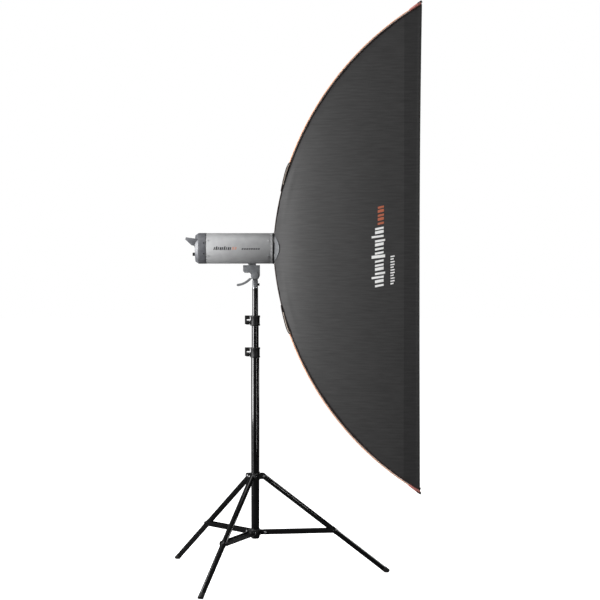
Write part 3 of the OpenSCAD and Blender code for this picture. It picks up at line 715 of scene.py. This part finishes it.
def ribbed_cloth(name, dark, light):
    finish = new_finish(name, roughness=0.62, specular=0.2)
    ribs = grain(finish, 0.0075, (0.09, 1, 1), coords="UV")
    patches = grain(finish, 0.06, (0.5, 1, 1), coords="UV")
    threads = grain(finish, 0.0011, (1, 1, 1), coords="UV")
    tint(finish, add_patterns(finish, ribs, patches, share=0.3), dark, light, low=0.3, high=1.0)
    relief(finish, ribs, 0.0003)
    relief(finish, threads, 0.0001)
    shader_of(finish).inputs["Sheen Weight"].default_value = 0.03
    shader_of(finish).inputs["Sheen Roughness"].default_value = 0.5
    return finish


softbox_cloth = ribbed_cloth("ribbed_black_polyester", (0.026, 0.0256, 0.0258), (0.042, 0.0414, 0.0416))
silver_lining = new_finish("silver_lining", roughness=0.32, metallic=0.8)
tint(silver_lining, grain(silver_lining, 0.004, coords="UV"), (0.55, 0.56, 0.57), (0.72, 0.73, 0.74))
relief(silver_lining, grain(silver_lining, 0.0035, coords="UV"), 0.0004)

softbox_middle = Vector(((rear_x + front_x) / 2, 0, axis_z))
lip_turn = atan2(rib_height(lip_x) - rib_ch, lip_x - rib_cx)
cloth_thick = 0.0016
arc_over_run = 1.15
panel_gap = 0.0008
lip_overlap = 0.006
hem_fade = 0.028
gather_fade = 0.05
hollow_depth = 0.003
fold_depth = 0.0019
fold_from_rod = 0.027
fold_width = 0.012
fold_height = 0.2
fold_length = 0.13


def pull(place, strength, size):
    return strength * noise.noise(Vector((place[0] / size[0], 0.3, place[1] / size[1])))


def side_place(side, first_turn, last_turn, front=None):
    def place(u, v):
        turn = first_turn + (last_turn - first_turn) * u
        x = rib_cx + rib_radius * cos(turn)
        height = rib_ch + rib_radius * sin(turn)
        z = height * (2 * v - 1)
        if front is not None:
            x = lip_x - lip_overlap + (front(z) - lip_x + lip_overlap) * u
            height = rib_height(x)
            z = height * (2 * v - 1)
        edge = exp(-(height - abs(z)) / hem_fade)
        ripple = edge * pull((x, z), 0.0022, (0.05, 0.034))
        gather = exp(-(x - rear_x) / gather_fade) * pull((x, z), 0.0035, (0.09, 0.028))
        sway = pull((x, z), 0.0016, (0.22, 0.45))
        hollow = hollow_depth * sin(pi * u) * (1 - edge) if front is None else 0
        from_rod = rib_radius - hypot(x - rib_cx, abs(z) - rib_ch)
        fold = fold_depth * exp(-((from_rod - fold_from_rod) / fold_width) ** 2)
        fold *= exp(-((abs(z) - fold_height) / fold_length) ** 4)
        out = rib_width(height) + ripple + gather + sway + fold - panel_gap - hollow
        return Vector((x, side * out, axis_z + z)), (x * arc_over_run, z)
    return place


for side, name in ((-1, "side_panel_near"), (1, "side_panel_far")):
    panel = cloth_sheet(56, 190, side_place(side, rib_start, lip_turn))
    face_away(panel, softbox_middle)
    hang(panel, name + "_cloth", "softbox_fabric", softbox_cloth, silver_lining, cloth_thick, name)


# Top and bottom panels: narrower walls of the same cloth, which follow the bow of the rods
# and are sewn to the side panels along them.
def end_place(up, first_turn, last_turn):
    def place(u, v):
        turn = first_turn + (last_turn - first_turn) * v
        base = edge_point(turn, 0.0, 1, up)
        y = base.y * (2 * u - 1)
        edge = exp(-(base.y - abs(y)) / 0.03)
        along = rib_radius * (rib_start - turn)
        sink = 0.004 * sin(pi * v) * (1 - edge) - edge * pull((y, along), 0.0012, (0.06, 0.034))
        gather = exp(-along / gather_fade) * pull((y, along), 0.003, (0.02, 0.2))
        spot = edge_point(turn, gather - sink - panel_gap, 1, up)
        return Vector((spot.x, y, spot.z)), (y, along)
    return place


for up, name in ((1, "top_panel"), (-1, "bottom_panel")):
    panel = cloth_sheet(44, 110, end_place(up, rib_start, lip_turn))
    face_away(panel, softbox_middle)
    hang(panel, name + "_cloth", "softbox_fabric", softbox_cloth, silver_lining, cloth_thick, name)


# Speedring cheeks: a crescent of cast aluminium on each side of the speedring, which
# clamps the rear hem of the side panel. Its pale grey, lighter than the cloth, is a painted
# highlight where the rear hem of the cloth catches the light.
# Painted highlight: this pale grey stands in for the lit rear hem of the cloth.
painted_hem_highlight = new_finish("painted_hem_highlight", roughness=0.5, metallic=0.2)
tint(painted_hem_highlight, grain(painted_hem_highlight, 0.01), (0.075, 0.078, 0.083), (0.1, 0.104, 0.11))
relief(painted_hem_highlight, grain(painted_hem_highlight, 0.0012), 0.00006)


cheek_half_h = 0.052
cheek_depth = 0.019
cheek_thick = 0.0035


def cheek_place(side):
    def place(u, v):
        z = cheek_half_h * (2 * v - 1)
        x = rear_x - 0.0005 + cheek_depth * u * (1 - (z / (cheek_half_h + 0.0005)) ** 2)
        return Vector((x, side * (rib_width(rib_height(x)) + cheek_thick), axis_z + z)), (x, z)
    return place


cheeks = []
for side in (-1, 1):
    cheek = cloth_sheet(10, 30, cheek_place(side))
    face_away(cheek, softbox_middle)
    use_modifier(cheek, "SOLIDIFY", thickness=cheek_thick, offset=-1)
    cheeks.append(cheek)
fit_on(join(cheeks), "speedring_cheeks", "softbox", "dark_casting", painted_hem_highlight, angle=40)


# Edge piping: a cord in orange tape, sewn into each long seam from the front corner to the
# slot cover, with plain black binding behind. A dark brown bead along the cord's underside,
# a dark bead under each corner pocket and a dark blob at each flap's front end are painted shade.
orange_tape = new_finish("orange_piping_tape", roughness=0.6)
tint(orange_tape, grain(orange_tape, 0.003), (0.7, 0.3, 0.15), (0.86, 0.46, 0.27))
relief(orange_tape, grain(orange_tape, 0.0012), 0.0003)
shader_of(orange_tape).inputs["Sheen Weight"].default_value = 0.3
# This dark brown tape colour serves the black binding and also the painted shade beside the piping.
binding_and_shade_tape = new_finish("binding_tape_and_painted_shade", roughness=0.66)
tint(binding_and_shade_tape, grain(binding_and_shade_tape, 0.004), (0.012, 0.0055, 0.0045), (0.034, 0.014, 0.01))
relief(binding_and_shade_tape, grain(binding_and_shade_tape, 0.0012), 0.0002)

flap_rear = turn_at_height(0.238)
flap_front = turn_at_height(0.357)


def along_seams(first, last, count, out, radius, aside=0.0):
    return [bead([edge_point(turn, out, side, up) + Vector((0, side * aside, 0))
                  for turn in steps_between(first, last, count)], radius)
            for side, up in corners]


orange_cords = join(along_seams(flap_front, rib_end, 44, out=0.0031, radius=0.0024))
fit_on(orange_cords, "edge_piping_orange", "softbox", "piping", orange_tape, "edge_piping",
       angle=50)

shade_bead_end = rib_end + 0.004
bindings = along_seams(rib_start, flap_front, 20, out=0.0006, radius=0.0026)
# Painted shade: a dark brown bead along the underside of the orange cord.
piping_shade_beads = along_seams(flap_front, shade_bead_end, 44, out=-0.003, radius=0.0036, aside=0.0012)
# Painted shade: a dark bead under each corner pocket.
pocket_shade_beads = along_seams(rib_end + 0.052, shade_bead_end, 6, out=-0.0058, radius=0.0036, aside=0.001)
# Painted shadow: a dark blob where each access flap's front end stands off the cloth.
flap_end_shade_blobs = along_seams(flap_front + 0.018, flap_front - 0.01, 6, out=-0.0035, radius=0.0046,
                    aside=0.0005)
binding_and_shade_beads = join(bindings + piping_shade_beads + pocket_shade_beads + flap_end_shade_blobs)
fit_on(binding_and_shade_beads, "edge_binding_and_painted_shade", "softbox", "piping", binding_and_shade_tape, angle=50)


# Corner pockets: a folded tab of salmon webbing, tapered like a thimble, sewn over each
# seam's front end so that it holds the rod's tip.
salmon_webbing = new_finish("salmon_webbing", roughness=0.6)
tint(salmon_webbing, grain(salmon_webbing, 0.003), (0.4, 0.125, 0.1), (0.56, 0.22, 0.19))
relief(salmon_webbing, grain(salmon_webbing, 0.0012, (1, 1, 0.3)), 0.0003)
pockets = []
for side, up in corners:
    pocket_rear = edge_point(rib_end + 0.046, 0.003, side, up)
    pocket_front = edge_point(rib_end + 0.002, 0.0048, side, up)
    run = pocket_front - pocket_rear
    turn = run.to_track_quat("Z", "Y").to_euler()
    deselect()
    bpy.ops.mesh.primitive_cone_add(vertices=20, radius1=0.0042, radius2=0.0072, depth=run.length,
                                    location=(pocket_rear + pocket_front) / 2, rotation=turn)
    pocket = bpy.context.object
    use_modifier(pocket, "BEVEL", width=0.0012, segments=2, limit_method="ANGLE")
    set_down(pocket)
    pockets.append(pocket)
corner_pockets = join(pockets)
fit_on(corner_pockets, "corner_pockets", "softbox", "piping", salmon_webbing)


# Access flaps: a strip of the cloth, bound in black, covers the rod slot across the top and
# the bottom panel. It is sewn at its rear edge, and its front end stands off the cloth, so
# that the cream tape under its edges shows.
def flap_lift(v):
    return 0.0024 + 0.0062 * v ** 0.8 * (1 - v ** 9)


def flap_turn(v):
    return flap_rear + (flap_front - flap_rear) * v


def flap_edge(side, up, span, rise, radius):
    return bead([edge_point(flap_turn(v), flap_lift(v) + rise, side, up) for v in span], radius)


def flap_place(up):
    def place(u, v):
        turn = flap_turn(v)
        y = (edge_point(turn, 0, 1, up).y - 0.0005) * (2 * u - 1)
        base = edge_point(turn, flap_lift(v) + 0.0008, 1, up)
        return Vector((base.x, y, base.z)), (y, rib_radius * (rib_start - turn))
    return place


flap_lining = new_finish("cream_flap_lining", roughness=0.5)
tint(flap_lining, grain(flap_lining, 0.004, coords="UV"), (0.6, 0.5, 0.42), (0.78, 0.68, 0.58))
relief(flap_lining, grain(flap_lining, 0.0011, coords="UV"), 0.0001)
whole_flap = steps_between(0, 1, 20)
open_flap = steps_between(0.25, 0.97, 14)
flap_pieces = []
bound_edges = []
cream_edges = []
for up in (1, -1):
    flap = cloth_sheet(30, 24, flap_place(up))
    face_away(flap, softbox_middle)
    flap_pieces.append(flap)
    place = flap_place(up)
    for side in (-1, 1):
        bound_edges.append(flap_edge(side, up, whole_flap, rise=0.0016, radius=0.0016))
        cream_edges.append(flap_edge(side, up, open_flap, rise=-0.0018, radius=0.0028))
    bound_edges.append(bead([place(u, 1)[0] for u in steps_between(0, 1, 12)], radius=0.0017))
for flap, name in zip(flap_pieces, ("top", "bottom")):
    hang(flap, "access_flap_" + name, "softbox_fabric", softbox_cloth, flap_lining, cloth_thick,
         *(["access_flaps"] if name == "top" else []))
flap_binding = join(bound_edges)
fit_on(flap_binding, "access_flap_binding", "softbox", "piping", binding_and_shade_tape, angle=50)
flap_tape = join(cream_edges)
fit_on(flap_tape, "access_flap_tape", "softbox", "piping", flap_lining, angle=50)


# Front lip: a band of black cloth, 64 mm deep, sewn on in front of the diffuser. A double
# hem finishes its front edge, and its inside carries a hook-and-loop band for a grid.
lip_cloth = ribbed_cloth("lip_black_polyester", (0.019, 0.0187, 0.019), (0.033, 0.0325, 0.033))
edge_dip = 0.008
hem_start = 0.82


def lip_front(z):
    reach = 1 if z > 0 else 0.4
    return front_x - edge_dip * (1 - reach * (z / front_half_h) ** 2)


def step_out(place, outward, forward="u"):
    def stepped(u, v):
        spot, weave = place(u, v)
        hemmed = (u if forward == "u" else v) > hem_start
        raised = 0.0009 + (0.0008 if hemmed else 0)
        return spot + outward * raised, weave
    return stepped


lip_walls = []
for side in (-1, 1):
    wall = side_place(side, lip_turn, rib_end, front=lip_front)
    lip_walls.append(cloth_sheet(22, 170, step_out(wall, Vector((0, side, 0)))))
for up in (1, -1):
    wall = end_place(up, lip_turn + 0.006, rib_end + (0 if up > 0 else 0.003))
    lip_walls.append(cloth_sheet(44, 22, step_out(wall, Vector((-0.6, 0, 0.8 * up)), "v")))
for wall in lip_walls:
    face_away(wall, softbox_middle)
lip = join(lip_walls)
hang(lip, "front_lip_cloth", "lip_fabric", lip_cloth, lip_cloth, cloth_thick, "front_lip")

black_tape = new_finish("black_binding_tape", roughness=0.6, specular=0.25)
tint(black_tape, grain(black_tape, 0.004), (0.003, 0.003, 0.003), (0.007, 0.007, 0.007))
relief(black_tape, grain(black_tape, 0.0012), 0.0002)
rim_beads = []
for side in (-1, 1):
    rim_wall = side_place(side, lip_turn, rib_end, front=lip_front)
    rim_beads.append(bead([rim_wall(1, v)[0] + Vector((-0.0006, side * 0.0008, 0))
                           for v in steps_between(0.002, 0.998, 90)], radius=0.0024))
fit_on(join(rim_beads), "lip_binding", "softbox", "lip_fabric", black_tape, angle=50)

fuzzy_band = new_finish("hook_and_loop_band", roughness=0.85, specular=0.2)
tint(fuzzy_band, grain(fuzzy_band, 0.002, coords="UV"), (0.006, 0.006, 0.006), (0.014, 0.014, 0.014))
relief(fuzzy_band, grain(fuzzy_band, 0.0009, coords="UV"), 0.0005)
band_rear = front_x - 0.034
band_width = 0.02
band_inset = 0.006


def band_side(side):
    def place(u, v):
        x = band_rear + band_width * u
        z = (rib_height(x) - band_inset) * (2 * v - 1)
        return Vector((x, side * (rib_width(rib_height(x)) - 0.0042), axis_z + z)), (x, axis_z + z)
    return place


def band_end(up):
    def place(u, v):
        x = band_rear + band_width * v
        y = (rib_width(rib_height(x)) - band_inset) * (2 * u - 1)
        return Vector((x, y, axis_z + up * (rib_height(x) - 0.0052))), (y, x)
    return place


grid_band = join([cloth_sheet(4, 120, band_side(side)) for side in (-1, 1)]
                 + [cloth_sheet(40, 4, band_end(up)) for up in (1, -1)])
face_away(grid_band, softbox_middle, inward=True)
hang(grid_band, "grid_band", "lip_fabric", fuzzy_band, fuzzy_band, 0.0012)


# Front diffuser: one sheet of white translucent nylon with a hemmed border, held by the
# lip's hook-and-loop tape. Its corners are cut off round the rods.
diffusion_cloth = new_finish("white_diffusion_nylon", roughness=0.75, specular=0.25)
tint(diffusion_cloth, grain(diffusion_cloth, 0.0016, coords="UV"), (0.8, 0.8, 0.785),
     (0.88, 0.88, 0.865))
relief(diffusion_cloth, grain(diffusion_cloth, 0.0011, coords="UV"), 0.00012)
shader_of(diffusion_cloth).inputs["Subsurface Weight"].default_value = 0.15
shader_of(diffusion_cloth).inputs["Subsurface Radius"].default_value = (0.004, 0.004, 0.004)


def flat_cloth(x, half_w, half_h, cut, hem, sag):
    def place(u, v):
        y, z = half_w * (2 * u - 1), half_h * (2 * v - 1)
        past_y, past_z = abs(y) - (half_w - cut), abs(z) - (half_h - cut)
        if past_y > 0 and past_z > 0 and past_y + past_z > cut:
            keep = cut / (past_y + past_z)
            y -= (1 - keep) * past_y * (1 if y > 0 else -1)
            z -= (1 - keep) * past_z * (1 if z > 0 else -1)
        rim = min(half_w - abs(y), half_h - abs(z))
        proud = 0.0008 if rim < hem else 0.0
        belly = sag * cos(pi * y / half_w / 2) * cos(pi * z / half_h / 2)
        wave = pull((y, z), 0.0014, (0.12, 0.3)) * min(1, rim / 0.05)
        return Vector((x + proud - belly + wave, y, axis_z + z)), (y, z)
    return place


diffuser_h = rib_height(lip_x)
diffuser = cloth_sheet(56, 170, flat_cloth(lip_x + 0.001, rib_width(diffuser_h) - 0.004,
                                           diffuser_h - 0.005, cut=0.03, hem=0.014, sag=0.006))
face_away(diffuser, Vector((0, 0, axis_z)))
hang(diffuser, "front_diffuser_cloth", "diffusion_fabric", diffusion_cloth, diffusion_cloth,
     0.0012, "front_diffuser")


# Inner diffuser: a smaller white sheet inside, hung by an elastic strap at each corner, so
# that the flash is softened twice.
inner_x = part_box("inner_diffuser")[0][0]
wall_h = rib_height(inner_x)
wall_w = rib_width(wall_h)
inner_h = 0.86 * wall_h
inner_w = 0.72 * wall_w
inner = cloth_sheet(30, 90, flat_cloth(inner_x + 0.001, inner_w, inner_h,
                                       cut=0.012, hem=0.012, sag=0.003))
face_away(inner, Vector((0, 0, axis_z)))
hang(inner, "inner_diffuser_cloth", "diffusion_fabric", diffusion_cloth, diffusion_cloth,
     0.0012, "inner_diffuser")
straps = []
for side, up in corners:
    strap_from = Vector((inner_x, side * (inner_w - 0.004), axis_z + up * (inner_h - 0.004)))
    strap_to = Vector((inner_x + 0.001, side * (wall_w - 0.018), axis_z + up * (wall_h - 0.022)))
    straps.append(bead([strap_from, strap_to], radius=0.002))
fit_on(join(straps), "inner_straps", "softbox", "diffusion_fabric", diffusion_cloth)


# Printed marks on both side panels are plain slanted bars in white and rust ink, heat
# pressed on the cloth in a column near the front.
def on_side(side):
    wall = side_place(side, rib_start, lip_turn)

    def place(along, x):
        turn = atan2(rib_height(x) - rib_ch, x - rib_cx)
        u = (turn - rib_start) / (lip_turn - rib_start)
        spot = wall(u, (along / rib_height(x) + 1) / 2)[0]
        return spot + Vector((0, side * 0.0004, 0))
    return place


rust_ink = ink("rust_ink", (0.34, 0.085, 0.04), (0.42, 0.115, 0.055))
white_marks, rust_marks = [], []
for side in (-1, 1):
    wall = on_side(side)
    white_marks += [bar(wall, start=-0.161 + 0.0168 * i, length=0.0085 + 0.0035 * (i % 3 == 1),
                        low=0.5 - 0.014 * (i % 5 == 2), high=0.535 + 0.006 * (i % 4 == 3),
                        slant=0.007)
                    for i in range(15)]
    white_marks += [bar(wall, start=-0.149 + 0.0112 * i, length=0.0055,
                        low=0.563, high=0.58 - 0.004 * (i % 3 == 0), slant=0.003)
                    for i in range(11)]
    rust_marks += [bar(wall, start=0.096 + 0.0165 * i, length=0.0085 + 0.003 * (i % 2),
                       low=0.511, high=0.536, slant=0.006)
                   for i in range(5)]
fit_on(join(white_marks), "side_marks_white", "softbox", "softbox_fabric", white_ink)
fit_on(join(rust_marks), "side_marks_orange", "softbox", "piping", rust_ink)
